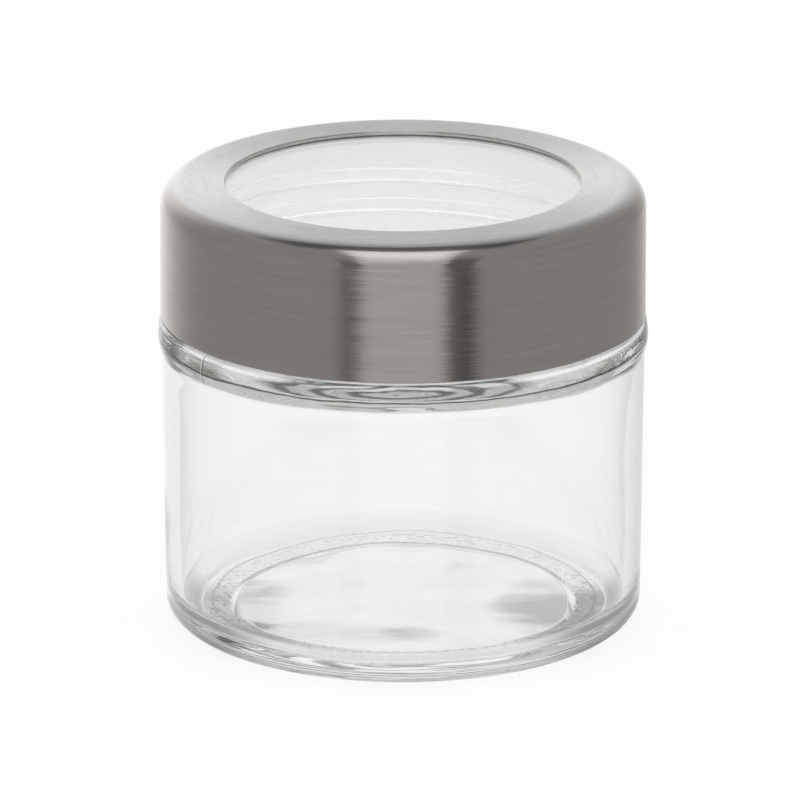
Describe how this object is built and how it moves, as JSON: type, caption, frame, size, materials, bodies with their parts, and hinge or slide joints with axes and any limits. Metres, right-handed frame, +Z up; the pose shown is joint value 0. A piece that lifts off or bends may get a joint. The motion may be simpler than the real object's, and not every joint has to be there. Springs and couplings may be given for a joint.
{
  "type": "spice jar",
  "caption": "Short round clear glass spice jar with a brushed steel screw lid that has a clear window; the lid unscrews and lifts off.",
  "frame": {"origin": "centre of the base, on the plane that the jar stands on", "axes": "+Z up along the jar's axis, from the base to the lid; X and Y lie in the base plane"},
  "size_m": [0.0658, 0.0658, 0.0608],
  "materials": {
    "glass": "clear pressed soda glass, glossy",
    "brushed_steel": "brushed round the axis, satin",
    "clear_plastic": "clear moulded plastic, glossy",
    "silicone": "milky soft silicone, satin"
  },
  "bodies": {
    "jar": {"glass_jar": "glass"},
    "seal": {"seal_ring": "silicone"},
    "lid": {"lid_shell": "brushed_steel", "threaded_insert": "clear_plastic"}
  },
  "joints": [
    {"name": "lid_lift", "type": "slide", "parent": "jar", "child": "seal", "axis": [0, 0, 1], "range_m": [0, 0.018]},
    {"name": "lid_turn", "type": "hinge", "parent": "seal", "child": "lid", "pos_m": [0, 0, 0.0508], "axis": [0, 0, 1], "range_deg": [0, 1531]}
  ],
  "couplings": [
    {"joint": "lid_lift", "follows": "lid_turn", "m_per_rad": 0.00067322}
  ]
}
